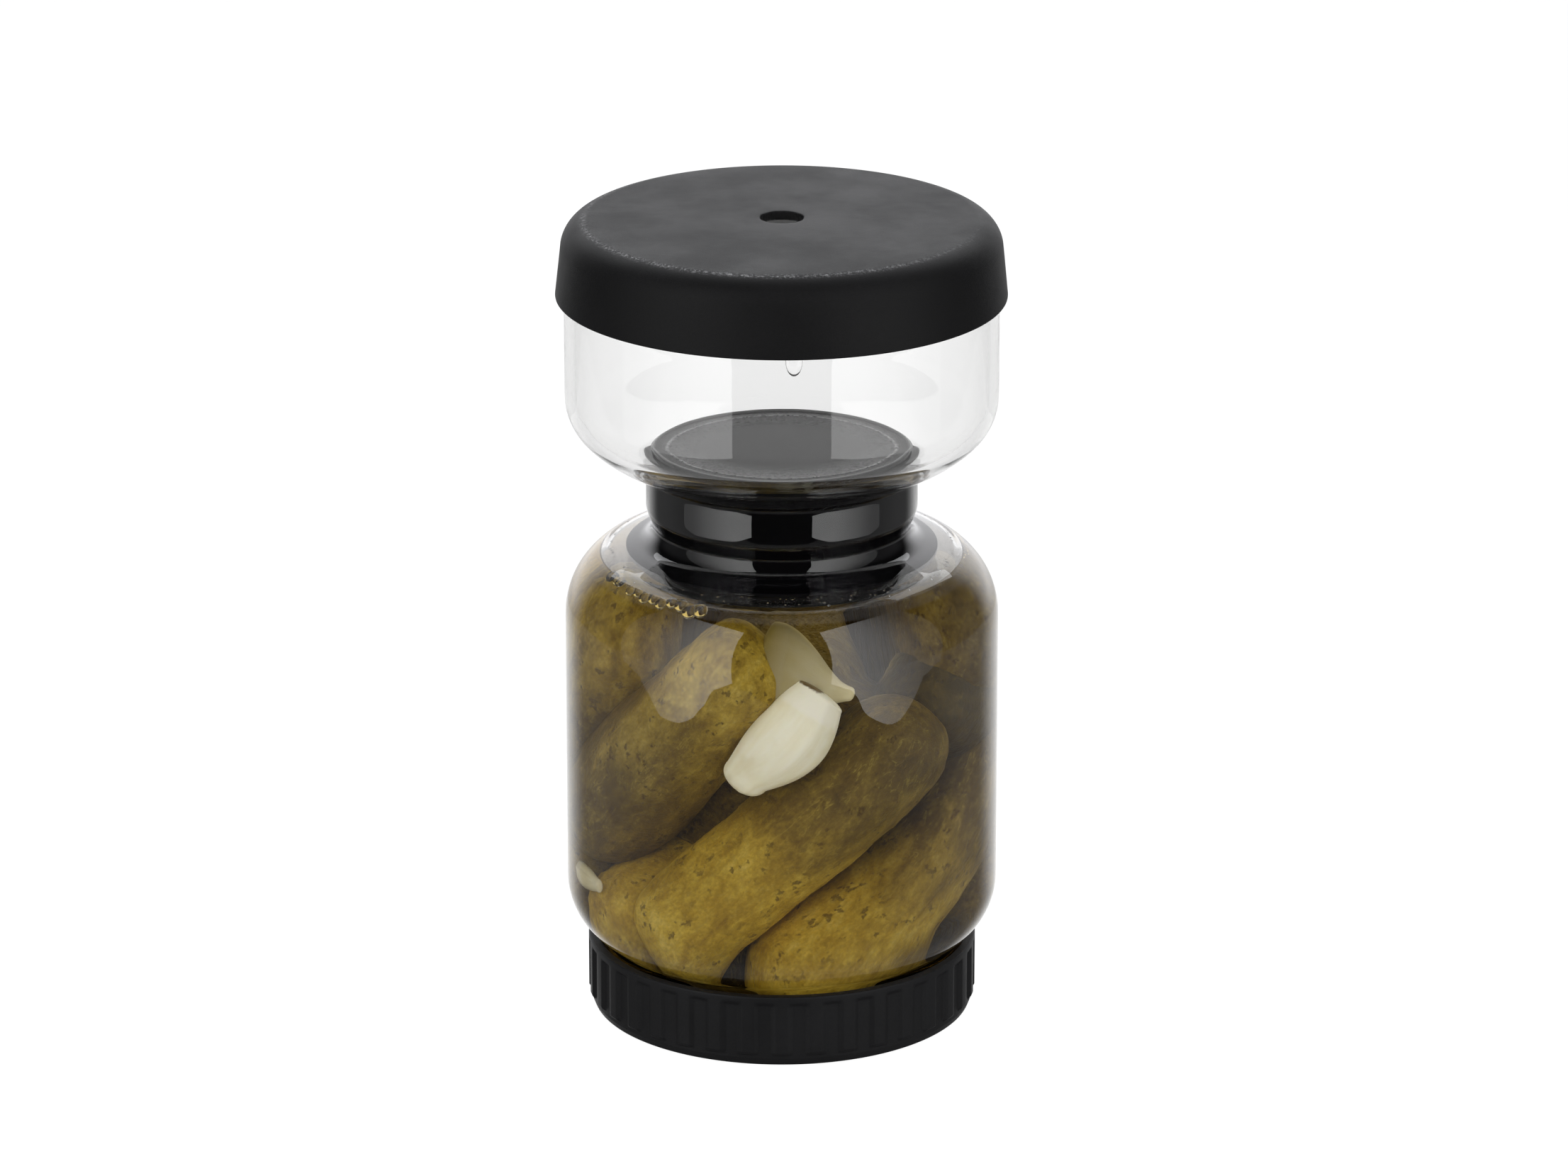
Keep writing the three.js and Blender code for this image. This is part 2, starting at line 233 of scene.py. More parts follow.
def surface(rows, columns, wraps):
    """Faces over rows of points, each row a ring. Where it doesn't wrap, one more point closes each end."""
    row = np.arange(rows if wraps else rows - 1)
    r, c = np.meshgrid(row, np.arange(columns), indexing="ij")
    below, beside = (r + 1) % rows, (c + 1) % columns
    corners = [r * columns + c, r * columns + beside, below * columns + beside, below * columns + c]
    quads = np.stack(corners, -1).reshape(-1, 4)
    if wraps:
        return quads, np.zeros((0, 3), int)
    ring = np.arange(columns)
    after = (ring + 1) % columns
    first, last = rows * columns, rows * columns + 1
    end = (rows - 1) * columns
    fans = [np.stack([np.full(columns, first), after, ring], 1),
            np.stack([np.full(columns, last), end + ring, end + after], 1)]
    return quads, np.concatenate(fans)


def joined(parts):
    """Several (points, quads, triangles) as one."""
    points, quads, triangles, base = [], [], [], 0
    for part_points, part_quads, part_triangles in parts:
        points.append(part_points)
        quads.append(part_quads + base)
        triangles.append(part_triangles + base)
        base += len(part_points)
    return np.concatenate(points), np.concatenate(quads), np.concatenate(triangles)


def build(name, shape, material, replaced=None, values=None):
    """An object with smooth faces that point outwards, riding on the part's one body.

    shape is its points, quads and triangles, and values has one value or vector a point."""
    points, quads, triangles = shape
    halves = np.concatenate([quads[:, [0, 1, 2]], quads[:, [0, 2, 3]], triangles])
    if volume(points, halves) < 0:
        quads, triangles = quads[:, ::-1], triangles[:, ::-1]
    mesh = bpy.data.meshes.new(name)
    mesh.from_pydata((points * MM).tolist(), [], quads.tolist() + triangles.tolist())
    mesh.shade_smooth()
    for key, data in (values or {}).items():
        kind = "FLOAT_VECTOR" if data.ndim == 2 else "FLOAT"
        layer = mesh.attributes.new(key, kind, "POINT")
        layer.data.foreach_set("vector" if data.ndim == 2 else "value", data.astype(np.float32).ravel())
    mesh.materials.append(material)
    made = bpy.data.objects.new(name, mesh)
    bpy.context.collection.objects.link(made)
    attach(made, "root")
    if replaced:
        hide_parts(replaced)
    return made


def turned(profile, sides, shape=None):
    """Points and faces of a profile turned round the axis. shape(angles, radii, heights) gives new radii."""
    wraps = profile[0, 0] > 0
    rings = profile if wraps else profile[1:-1]
    angle = np.linspace(0, 2 * np.pi, sides, endpoint=False)
    radii = np.repeat(rings[:, :1], sides, 1)
    heights = np.repeat(rings[:, 1:2], sides, 1)
    if shape:
        radii = shape(angle[None, :], radii, heights)
    points = np.stack([radii * np.sin(angle), -radii * np.cos(angle), heights], -1).reshape(-1, 3)
    if not wraps:
        points = np.r_[points, [[0, 0, profile[0, 1]], [0, 0, profile[-1, 1]]]]
    return points, *surface(len(rings), sides, wraps)


def ellipsoid(centre, radii, columns, rows, axes=None):
    """Points and faces of an ellipsoid, turned to its own axes if it has any."""
    lift = np.linspace(-90, 90, rows + 2)[1:-1]
    angle = np.linspace(0, 2 * np.pi, columns, endpoint=False)
    up, turn = np.meshgrid(np.radians(lift), angle, indexing="ij")
    wide = np.cos(up)
    local = np.stack([wide * np.cos(turn), wide * np.sin(turn), np.sin(up)], -1).reshape(-1, 3)
    local = np.r_[local, [[0, 0, -1], [0, 0, 1]]] * np.asarray(radii, float)
    if axes is not None:
        local = local @ np.asarray(axes)
    return local + np.asarray(centre, float), *surface(rows, columns, False)


# Materials
def node(tree, kind, settings=None, inputs=None):
    made = tree.nodes.new("ShaderNode" + kind)
    for key, value in (settings or {}).items():
        setattr(made, key, value)
    for key, value in (inputs or {}).items():
        if isinstance(value, bpy.types.NodeSocket):
            tree.links.new(value, made.inputs[key])
        else:
            made.inputs[key].default_value = value
    return made


def new_material(name):
    material = bpy.data.materials.new(name)
    material.use_nodes = True
    material.node_tree.nodes.clear()
    return material, material.node_tree


def finish_material(material, tree, settings, volume_node=None):
    """A Principled surface with these inputs, joined to the output."""
    shader = node(tree, "BsdfPrincipled", inputs=settings)
    output = node(tree, "OutputMaterial", inputs={"Surface": shader.outputs[0]})
    if volume_node:
        tree.links.new(volume_node.outputs[0], output.inputs["Volume"])
    return material


def scaled(tree, vector, scale):
    return node(tree, "VectorMath", {"operation": "MULTIPLY"}, {0: vector, 1: scale}).outputs[0]


def noise_of(tree, vector, scale, detail=3.0, roughness=0.55, distortion=0.0):
    inputs = {"Vector": vector, "Scale": scale, "Detail": detail, "Roughness": roughness}
    return node(tree, "TexNoise", inputs={**inputs, "Distortion": distortion}).outputs["Fac"]


def graded(tree, value, start, end, low=0.0, high=1.0):
    """Low up to start and high from end on, and smoothly from one to the other between them."""
    inputs = {"Value": value, "From Min": start, "From Max": end, "To Min": low, "To Max": high}
    return node(tree, "MapRange", {"interpolation_type": "SMOOTHSTEP"}, inputs).outputs[0]


def math_of(tree, operation, a, b=0.0):
    return node(tree, "Math", {"operation": operation}, {0: a, 1: b}).outputs[0]


def added(tree, a, b):
    return math_of(tree, "ADD", a, b)


def times(tree, a, b):
    return math_of(tree, "MULTIPLY", a, b)


def mixed(tree, share, a, b):
    inputs = {0: share, 6: a, 7: b}
    return node(tree, "Mix", {"data_type": "RGBA"}, inputs).outputs[2]


def ramp(tree, value, stops):
    made = node(tree, "ValToRGB", inputs={0: value})
    elements = made.color_ramp.elements
    while len(elements) < len(stops):
        elements.new(0.5)
    for element, (position, colour) in zip(elements, stops):
        element.position = position
        element.color = (*colour, 1)
    return made.outputs[0]


def bumped(tree, height, distance):
    return node(tree, "Bump", inputs={"Height": height, "Distance": distance, "Strength": 1.0}).outputs[0]


def place_in_mm(tree):
    return scaled(tree, node(tree, "TexCoord").outputs["Object"], (1 / MM, 1 / MM, 1 / MM))


def attribute(tree, name, output="Fac"):
    return node(tree, "Attribute", {"attribute_name": name}).outputs[output]


def clear_glass():
    """Clear blown glass, faintly grey through its depth. Its wetted inside doesn't reflect."""
    material, tree = new_material("clear glass")
    waves = noise_of(tree, place_in_mm(tree), 0.06, 2.0)
    grey = node(tree, "VolumeAbsorption", inputs={"Color": (0.5, 0.5, 0.485, 1), "Density": 50.0})
    settings = {
        "Base Color": WHITE, "Roughness": 0.0, "IOR": 1.5, "Transmission Weight": 1.0,
        "Specular Tint": mixed(tree, attribute(tree, "wet"), WHITE, BLACK),
        "Normal": bumped(tree, waves, 0.02 * MM),
    }
    return finish_material(material, tree, settings, grey)


def water_material():
    """Clear drops and bubbles, a little uneven."""
    material, tree = new_material("water")
    ripple = noise_of(tree, place_in_mm(tree), 0.8, 2.0)
    settings = {
        "Base Color": WHITE, "Roughness": 0.0, "IOR": 1.33, "Transmission Weight": 1.0,
        "Normal": bumped(tree, ripple, 0.02 * MM),
    }
    return finish_material(material, tree, settings)


def brine_material():
    """Clear yellow brine. Its surface to the air reflects, and its skin inside the glass doesn't."""
    material, tree = new_material("brine")
    height = node(tree, "SeparateXYZ", inputs={0: place_in_mm(tree)}).outputs[2]
    open_air = graded(tree, height, LEVEL - 1.2, LEVEL - 0.6)
    inside = node(tree, "VolumeAbsorption", inputs={"Color": (0.86, 0.73, 0.20, 1), "Density": 26.0})
    settings = {
        "Base Color": WHITE, "Roughness": 0.0, "IOR": 1.34, "Transmission Weight": 1.0,
        "Specular Tint": mixed(tree, open_air, BLACK, WHITE),
    }
    return finish_material(material, tree, settings, inside)


def gherkin_material():
    """Olive skin with soft golden patches, thin yellow veins, brown specks and paler warts, and painted light
    and shade on its ends.
    """
    material, tree = new_material("gherkin skin")
    local = attribute(tree, "local", "Vector")
    ripe = attribute(tree, "ripe")
    wart = attribute(tree, "wart")
    patch = noise_of(tree, scaled(tree, local, (0.055, 0.10, 0.10)), 1.0, 5.0, 0.6, 0.5)
    blot = noise_of(tree, scaled(tree, local, (0.22, 0.36, 0.36)), 1.0, 5.0, 0.65, 0.4)
    grain = noise_of(tree, local, 1.2, 4.0, 0.62)
    tone = added(tree, times(tree, patch, 0.55), times(tree, blot, 0.45))
    green = ramp(tree, tone, [
        (0.32, (0.070, 0.040, 0.008)), (0.45, (0.125, 0.080, 0.016)), (0.55, (0.185, 0.124, 0.024)),
        (0.68, (0.30, 0.21, 0.045)),
    ])
    gold = ramp(tree, tone, [
        (0.32, (0.24, 0.14, 0.012)), (0.45, (0.42, 0.27, 0.024)), (0.55, (0.58, 0.40, 0.05)),
        (0.68, (0.74, 0.56, 0.12)),
    ])
    # Gold, partly the skin's own colour and partly painted light on the ends that catch the most light
    ripeness = graded(tree, added(tree, ripe, times(tree, patch, 0.8)), 0.45, 1.45)
    skin = mixed(tree, ripeness, green, gold)
    line = noise_of(tree, scaled(tree, local, (0.10, 0.30, 0.30)), 1.0, 3.0, 0.6, 1.0)
    off_line = math_of(tree, "ABSOLUTE", math_of(tree, "SUBTRACT", line, 0.5))
    veins = times(tree, graded(tree, off_line, 0.020, 0.004), graded(tree, blot, 0.42, 0.6))
    skin = mixed(tree, times(tree, veins, 0.4), skin, (0.46, 0.34, 0.07, 1))
    swirl = node(tree, "TexNoise", inputs={"Vector": local, "Scale": 0.35, "Detail": 4.0}).outputs["Color"]
    inputs = {0: swirl, 1: (7, 7, 7), 2: local}
    strayed = node(tree, "VectorMath", {"operation": "MULTIPLY_ADD"}, inputs).outputs[0]
    cells = node(tree, "TexVoronoi", inputs={"Vector": strayed, "Scale": 0.27}).outputs["Distance"]
    edge = added(tree, cells, times(tree, grain, 0.6))
    spots = times(tree, graded(tree, edge, 0.60, 0.42), graded(tree, patch, 0.38, 0.58))
    skin = mixed(tree, times(tree, spots, 0.62), skin, (0.055, 0.026, 0.007, 1))
    skin = mixed(tree, times(tree, wart, 0.35), skin, (0.27, 0.17, 0.04, 1))
    # Painted shade: an end below nought is darkened, as for a gherkin lying in shadow
    dark = graded(tree, ripe, -0.8, 0.0, 0.3, 1)
    shade = times(tree, graded(tree, grain, 0.35, 0.7, 0.84, 1.12), dark)
    colour = node(tree, "VectorMath", {"operation": "SCALE"}, {0: skin, "Scale": shade}).outputs[0]
    relief = added(tree, added(tree, grain, blot), times(tree, spots, -0.6))
    settings = {
        "Base Color": colour, "Roughness": 0.40, "Specular IOR Level": 0.28,
        "Normal": bumped(tree, relief, 0.3 * MM),
    }
    return finish_material(material, tree, settings)


def clove_material():
    """Peeled garlic: cream, with faint veins along it, a paler cap, brown roots at its cut end and painted
    shade where it lies deep in shadow.
    """
    material, tree = new_material("peeled garlic")
    local = attribute(tree, "local", "Vector")
    root = attribute(tree, "root")
    cap = attribute(tree, "cap")
    veins = noise_of(tree, scaled(tree, local, (0.07, 0.5, 0.5)), 1.0, 3.0, 0.5, 0.2)
    cloud = noise_of(tree, local, 0.16, 3.0)
    creams = [(0.30, (0.90, 0.85, 0.64)), (0.5, (0.94, 0.90, 0.71)), (0.7, (0.96, 0.93, 0.77))]
    flesh = ramp(tree, veins, creams)
    flesh = mixed(tree, graded(tree, cloud, 0.5, 0.75, 0, 0.4), flesh, (0.74, 0.66, 0.42, 1))
    flesh = mixed(tree, times(tree, cap, 0.8), flesh, (0.97, 0.94, 0.82, 1))
    # Painted shade: a clove lying deep in shadow is darkened towards brown
    stained = times(tree, attribute(tree, "stain"), 0.95)
    flesh = mixed(tree, stained, flesh, (0.20, 0.145, 0.02, 1))
    fray = added(tree, root, times(tree, noise_of(tree, local, 1.3, 5.0, 0.7), 0.5))
    colour = mixed(tree, graded(tree, fray, 0.64, 0.84), flesh, (0.13, 0.085, 0.035, 1))
    settings = {
        "Base Color": colour, "Roughness": 0.34, "Specular IOR Level": 0.3,
        "Subsurface Weight": 0.15, "Subsurface Radius": (1, 0.7, 0.35), "Subsurface Scale": 1.5 * MM,
        "Normal": bumped(tree, added(tree, added(tree, veins, fray), cap), 0.10 * MM),
    }
    return finish_material(material, tree, settings)


def rubber_material(name, dark, dust, roughness):
    """Matte silicone with faint clouds, fine pores and a dusting where the attribute says."""
    material, tree = new_material(name)
    place_mm = place_in_mm(tree)
    cloud = noise_of(tree, place_mm, 0.035, 4.0, 0.6)
    pores = noise_of(tree, place_mm, 3.2, 3.0, 0.7)
    specks = noise_of(tree, place_mm, 1.5, 5.0, 0.8)
    worn = attribute(tree, "worn")
    base = mixed(tree, graded(tree, cloud, 0.35, 0.7), (*dark, 1), (*[c * 1.35 for c in dark], 1))
    dusty = times(tree, worn, graded(tree, specks, 0.46, 0.66))
    colour = mixed(tree, dusty, base, (*dust, 1))
    settings = {
        "Base Color": colour, "IOR": 1.22,
        "Roughness": graded(tree, cloud, 0.3, 0.7, roughness - 0.05, roughness + 0.06),
        "Normal": bumped(tree, pores, 0.05 * MM),
    }
    return finish_material(material, tree, settings)


def stopper_material():
    """Black silicone, wet and glossy in the open. Where it lies against the glass it doesn't reflect. A pale
    painted highlight runs round the lip near its disc's rim and, in dots, round its inner ring.
    """
    material, tree = new_material("stopper silicone")
    place_mm = place_in_mm(tree)
    cloud = noise_of(tree, place_mm, 0.08, 3.0)
    lint = noise_of(tree, place_mm, 1.5, 4.0, 0.8)
    free = attribute(tree, "free")
    base = mixed(tree, cloud, (0.002, 0.002, 0.0023, 1), (0.004, 0.004, 0.0044, 1))
    # Painted highlight: pale dots round the inner ring and a pale line round the lip near the disc's rim
    dots = times(tree, attribute(tree, "ring"), graded(tree, lint, 0.42, 0.52))
    light = math_of(tree, "MAXIMUM", dots, attribute(tree, "edge"))
    settings = {
        "Base Color": mixed(tree, light, base, (0.62, 0.62, 0.62, 1)),
        "Roughness": graded(tree, cloud, 0.3, 0.7, 0.10, 0.2),
        "Specular IOR Level": times(tree, free, 0.11),
    }
    return finish_material(material, tree, settings)


def to_the_eye(tree, path):
    """One for a ray that the camera sees straight or through glass, and nought for light on its way."""
    straight = math_of(tree, "MAXIMUM", path["Is Camera Ray"], path["Is Transmission Ray"])
    return times(tree, straight, math_of(tree, "LESS_THAN", path["Diffuse Depth"], 0.5))


def floor_material():
    """A pale floor that glows to the eye, as paper lit from below does."""
    material, tree = new_material("pale floor")
    eye = to_the_eye(tree, node(tree, "LightPath").outputs)
    glow = added(tree, times(tree, eye, FLOOR["glow"] - FLOOR["light"]), FLOOR["light"])
    faint = noise_of(tree, node(tree, "TexCoord").outputs["Object"], 3.0, 2.0)
    colour = mixed(tree, faint, (0.09, 0.09, 0.09, 1), (0.10, 0.10, 0.10, 1))
    settings = {
        "Base Color": colour, "Roughness": 0.9, "Specular IOR Level": 0.0,
        "Emission Color": WHITE, "Emission Strength": glow,
    }
    return finish_material(material, tree, settings)


# The glass
def sweep_centre():
    """The centre of the flatter round under the bowl's corner."""
    turn = math.radians(CORNER["end"])
    apart = SWEEP["radius"] - CORNER["radius"]
    return BOWL_RADIUS - CORNER["radius"] - apart * math.cos(turn), CORNER["height"] - apart * math.sin(turn)


def outer_glass():
    x, z = sweep_centre()
    return [
        (MOUTH["radius"], MOUTH["bottom"]),
        *arc(JAR_RADIUS - FOOT["radius"], FOOT["height"], FOOT["radius"], FOOT["end"], 0, 24),
        *arc(JAR_RADIUS - SHOULDER["radius"], SHOULDER["height"], SHOULDER["radius"], 0, SHOULDER["end"], 24),
        *arc(WAIST["radius"] + COLLAR["radius"], COLLAR["height"], COLLAR["radius"], -90, -180, 12),
        (WAIST["bulge"], WAIST["from"]), (WAIST["bulge"], WAIST["to"]), (WAIST["bulge"], UNDERSIDE),
        *arc(x, z, SWEEP["radius"], SWEEP["end"], CORNER["end"], 6),
        *arc(BOWL_RADIUS - CORNER["radius"], CORNER["height"], CORNER["radius"], CORNER["end"], 0, 18),
        (BOWL_RADIUS, RIM["from"] - RIM["bend"]), (RIM["radius"], RIM["from"]),
        *arc(RIM["radius"] - WALL / 2, RIM["top"] - WALL / 2, WALL / 2, 0, 90, 6),
    ]


def inner_glass():
    x, z = sweep_centre()
    shoulder = JAR_RADIUS - SHOULDER["radius"]
    foot = JAR_RADIUS - FOOT["radius"]
    bore = MOUTH["radius"] - WALL
    turn = -math.degrees(math.acos((bore - foot) / (FOOT["radius"] - WALL)))
    return [
        *arc(RIM["radius"] - WALL / 2, RIM["top"] - WALL / 2, WALL / 2, 90, 180, 6)[1:],
        (RIM["radius"] - WALL, RIM["from"]), (BOWL_RADIUS - WALL, RIM["from"] - RIM["bend"]),
        *arc(BOWL_RADIUS - CORNER["radius"], CORNER["height"], CORNER["radius"] - WALL, 0, CORNER["end"], 18),
        *arc(x, z, SWEEP["radius"] - WALL, CORNER["end"], SWEEP["end"], 6),
        (STOPPER["disc"] + 2, SEAT), (WAIST["bulge"] - WALL, SEAT), (WAIST["bulge"] - WALL, WAIST["from"]),
        *arc(WAIST["radius"] + COLLAR["radius"], COLLAR["height"], COLLAR["radius"] + WALL, -180, -90, 12),
        *arc(shoulder, SHOULDER["height"], SHOULDER["radius"] - WALL, SHOULDER["end"], 0, 24),
        *arc(foot, FOOT["height"], FOOT["radius"] - WALL, 0, turn, 24),
        (bore, MOUTH["bottom"]),
    ]


def thread_shape(angles, radii, heights):
    """A rounded ridge that winds once and a half round the mouth."""
    turns = angles / (2 * np.pi)
    ridge = np.zeros_like(radii)
    for lap in range(2):
        centre = THREAD["from"] + (turns + lap) * THREAD["pitch"]
        fade = np.clip((THREAD["to"] - centre) / THREAD["run_out"], 0, 1)
        ridge = np.maximum(ridge, fade * np.exp(-((heights - centre) / THREAD["half"]) ** 2))
    outside = (radii > MOUTH["radius"] - 0.6) & (heights < MOUTH["top"])
    return radii + np.where(outside, THREAD["height"] * ridge, 0)


def with_thread_rows(profile):
    """More rows up the mouth's outside, where the thread is."""
    rows = [(MOUTH["radius"], z) for z in np.arange(MOUTH["bottom"] + 0.6, MOUTH["top"] - 0.4, 0.5)]
    outside = (profile[:, 0] > MOUTH["radius"] - 0.3) & (profile[:, 0] < MOUTH["radius"] + 0.3)
    low = outside & (profile[:, 1] > MOUTH["bottom"] + 0.4) & (profile[:, 1] < MOUTH["top"] - 0.2)
    first = int(np.argmax(low))
    return np.concatenate([profile[:first], rows, profile[first:][~low[first:]]])


def make_glass(material):
    """The vessel, with its faces under the brine marked as wet."""
    profile = with_thread_rows(profile_of(outer_glass() + inner_glass(), 0.55, closed=True, longest=2.2))
    shape = turned(profile, SIDES["glass"], thread_shape)
    vessel = build("glass_vessel", shape, material, "glass")
    centres = shape[0][shape[1]].mean(1)
    reach = np.hypot(centres[:, 0], centres[:, 1])
    wet = (reach < room(centres[:, 2]) + 0.7) & (centres[:, 2] < LEVEL + 0.4)
    vessel.data.attributes.new("wet", "FLOAT", "FACE").data.foreach_set("value", wet.astype(np.float32))
    vessel.visible_shadow = False


def room(height, less=0.0):
    """The jar's inner radius at a height."""
    height = np.asarray(height, float)
    low = FOOT["radius"] - WALL - less
    high = SHOULDER["radius"] - WALL - less
    dip = np.clip(FOOT["height"] - height, 0, low)
    rise = np.clip(height - SHOULDER["height"], 0, high)
    foot = JAR_RADIUS - FOOT["radius"] + np.sqrt(low ** 2 - dip ** 2)
    shoulder = JAR_RADIUS - SHOULDER["radius"] + np.sqrt(high ** 2 - rise ** 2)
    return np.maximum(np.minimum(foot, shoulder), MOUTH["radius"] - WALL - less)


# The brine
def make_brine(material):
    """The liquid from the lid up to its surface, which climbs at the glass. It reaches into the wall."""
    shoulder = JAR_RADIUS - SHOULDER["radius"]
    radius = SHOULDER["radius"] - WALL + INTO_GLASS
    top = LEVEL + MENISCUS
    start = math.degrees(math.asin((top - SHOULDER["height"]) / radius))
    wall = shoulder + radius * math.cos(math.radians(start))
    foot = JAR_RADIUS - FOOT["radius"]
    bore = MOUTH["radius"] - WALL + INTO_GLASS
    low = FOOT["radius"] - WALL + INTO_GLASS
    turn = -math.degrees(math.acos((bore - foot) / low))
    climb = [(wall - s, LEVEL + MENISCUS * math.exp(-s / MENISCUS_FADE)) for s in np.linspace(9, 0.35, 26)]
    profile = [
        (0, LEVEL), *climb, (wall, top),
        *arc(shoulder, SHOULDER["height"], radius, start, 0, 24),
        *arc(foot, FOOT["height"], low, 0, turn, 20),
        (bore, BRINE_BOTTOM + 0.4), (bore - 0.4, BRINE_BOTTOM), (0, BRINE_BOTTOM),
    ]
    shape = turned(profile_of(profile, 0.12), SIDES["glass"])
    build("brine", shape, material).visible_shadow = False


# The pickles
def place(angle, reach, height):
    """A point by degrees round the jar from the front, towards +X, then out from the axis and up."""
    turn = math.radians(angle)
    return Vector((reach * math.sin(turn), -reach * math.cos(turn), height))


def spine(start, end, bow):
    """Point and frame along the bent middle line, as functions of the share of its length."""
    middle = (start + end) / 2
    outwards = Vector((middle.x, middle.y, 0)).normalized()
    pull = middle + outwards * 2 * bow

    def at(share):
        point = start * (1 - share) ** 2 + pull * 2 * share * (1 - share) + end * share ** 2
        tangent = ((pull - start) * (1 - share) + (end - pull) * share).normalized()
        side = tangent.cross(outwards).normalized()
        return point, tangent, side, side.cross(tangent)

    steps = [at(k / 40)[0] for k in range(41)]
    return at, sum((b - a).length for a, b in zip(steps, steps[1:]))


def body(start, end, radii, bow, belly, grid):
    """A bent round bar with two round ends: its spine, its length, and for each row and column of its points
    the way along it, the radius, the angle round it and how far the surface leans from straight out."""
    at, length = spine(place(*start), place(*end), bow)
    cap_rows, taper, blunt = grid["cap_rows"], grid["taper"], grid["blunt"]
    leans = np.linspace(math.radians(90 / cap_rows * 0.5), math.pi / 2, cap_rows, endpoint=False)
    cap = [(math.cos(c) ** blunt, math.sin(c) ** blunt, math.pi / 2 - c) for c in leans]
    line = [(-radii[0] * taper[0] * reach, radii[0] * wide, -lean) for reach, wide, lean in cap]
    for share in np.linspace(0, 1, grid["rows"]):
        swell = belly * math.sin(math.pi * share)
        blend = share * share * (3 - 2 * share)
        line.append((share * length, radii[0] * (1 - blend) + radii[1] * blend + swell, 0.0))
    line += [(length + radii[1] * taper[1] * reach, radii[1] * wide, lean) for reach, wide, lean in cap[::-1]]
    around = np.linspace(0, 2 * np.pi, grid["columns"], endpoint=False)
    along, radius, lean = (np.repeat(column[:, None], len(around), 1) for column in np.array(line).T)
    return at, length, along, radius, np.repeat(around[None], len(line), 0), lean


def laid(at, length, along, across, outward):
    """Points along the spine, across it and away from the jar's axis, with one more to close each end."""
    shares = np.clip(along / length, 0, 1)
    frames = {s: at(s) for s in np.unique(shares)}
    order = [frames[s] for s in shares.ravel()]
    vectors = [np.array([list(frame[k]) for frame in order]).reshape(*along.shape, 3) for k in range(4)]
    base, tangent, side, out = vectors
    past = (along - shares * length)[..., None]
    points = base + tangent * past + side * across[..., None] + out * outward[..., None]
    tips = [points[0].mean(0), points[-1].mean(0)]
    return pressed(np.r_[points.reshape(-1, 3), tips])


def lumps(points, scale, seed):
    """Smooth unevenness, about a millimetre divided by scale wide, from -1 to 1."""
    offset = Vector((seed * 17.3, seed * 5.1, seed * 9.7))
    flat = points.reshape(-1, 3) * scale
    return np.array([noise.noise(Vector(p) + offset) for p in flat]).reshape(points.shape[:-1])


def skin_place(local, shift):
    """The place on a pickle that its pattern is read at. shift keeps two pickles from looking alike."""
    tips = [local[0].mean(0), local[-1].mean(0)]
    return np.r_[local.reshape(-1, 3), tips] + [shift, 0, 0]


def away_from(angles, angle):
    """The difference between angles, from -pi to pi."""
    return np.angle(np.exp(1j * (angles - angle)))


def warts_of(index, along, radius, turn, length, radii):
    """How much of a wart each point has, from nought to one."""
    warts = np.zeros_like(along)
    draws = np.random.default_rng(SEED + index)
    for _ in range(WARTS["count"]):
        wart_along = draws.uniform(-radii[0] * 0.6, length + radii[1] * 0.6)
        wart_turn = draws.uniform(0, 2 * math.pi)
        size = draws.uniform(*WARTS["size"])
        around = away_from(turn, wart_turn) * radius
        near = np.exp(-((along - wart_along) ** 2 + around ** 2) / size ** 2)
        warts = np.maximum(warts, near * draws.uniform(*WARTS["share"]))
    return warts


def gherkin(index, spec):
    """One gherkin with its uneven skin, and the values its material reads."""
    start, end, radii, (bow, belly), ripe = spec
    at, length, along, radius, turn, lean = body(start, end, radii, bow, belly, GHERKIN_GRID)
    local = np.stack([along, radius * np.cos(turn), radius * np.sin(turn)], -1)
    facets = sum(height * np.cos(count * turn + index * shift) for height, count, shift in FACETS)
    warts = warts_of(index, along, radius, turn, length, radii)
    grown = facets * np.cos(lean) + WARTS["height"] * warts
    for height, width, seed in SWELLS:
        grown = grown + height * lumps(local, 1 / width, index + seed)
    radius = radius + grown * np.cos(lean)
    points = laid(at, length, along + grown * np.sin(lean), radius * np.cos(turn), radius * np.sin(turn))
    share = np.clip(local[..., 0] / length, 0, 1)
    values = {
        "local": skin_place(local, index * 61.0),
        # How golden each point is, partly painted light, and below nought painted shade
        "ripe": np.r_[(ripe[0] * (1 - share) + ripe[1] * share).ravel(), ripe],
        "wart": np.r_[warts.ravel(), warts[0].mean(), warts[-1].mean()],
    }
    return (points, *surface(*along.shape, False)), values


def pressed(points):
    """Points that would leave the jar are laid against its inner wall."""
    reach = np.hypot(points[:, 0], points[:, 1])
    limit = room(points[:, 2], CLEARANCE)
    share = np.where(reach > limit, limit / np.maximum(reach, 1e-6), 1)
    return np.c_[points[:, :2] * share[:, None], points[:, 2]]


